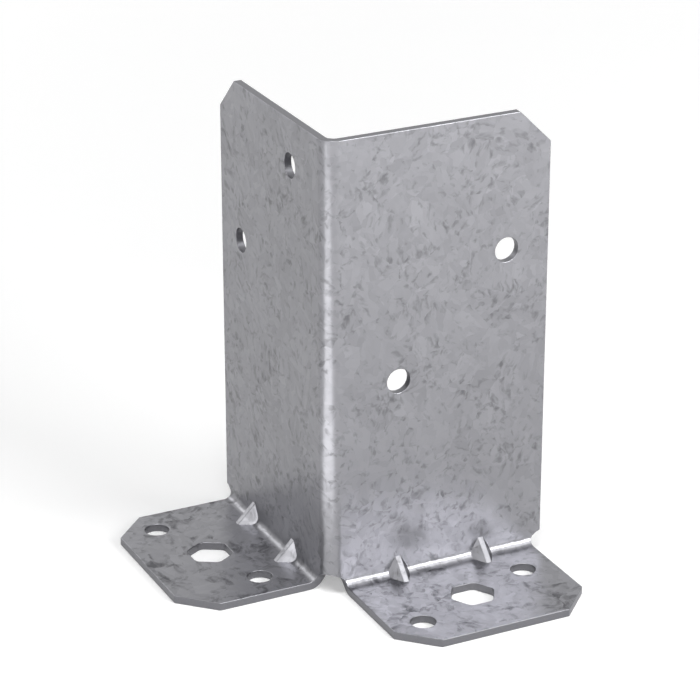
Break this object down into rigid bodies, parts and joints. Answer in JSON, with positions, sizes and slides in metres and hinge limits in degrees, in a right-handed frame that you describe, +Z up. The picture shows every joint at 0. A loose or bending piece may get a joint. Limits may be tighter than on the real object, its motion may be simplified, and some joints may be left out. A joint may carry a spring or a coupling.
{
  "type": "timber post base",
  "caption": "Folded sheet-steel bracket with two legs that wrap one corner of a timber post and two pierced feet that anchor it to concrete.",
  "frame": {"origin": "the corner of the post on the floor: where the planes of the two inner leg faces meet the plane of the undersides", "axes": "+Z up the post, +X along one leg, +Y along the other; the post stands in +X +Y and the feet reach out to -Y and -X"},
  "size_m": [0.1247, 0.1247, 0.155],
  "materials": {
    "galvanised_steel": "hot-dip galvanised with a fine spangle"
  },
  "bodies": {
    "root": {"post_base": "galvanised_steel"}
  },
  "joints": []
}
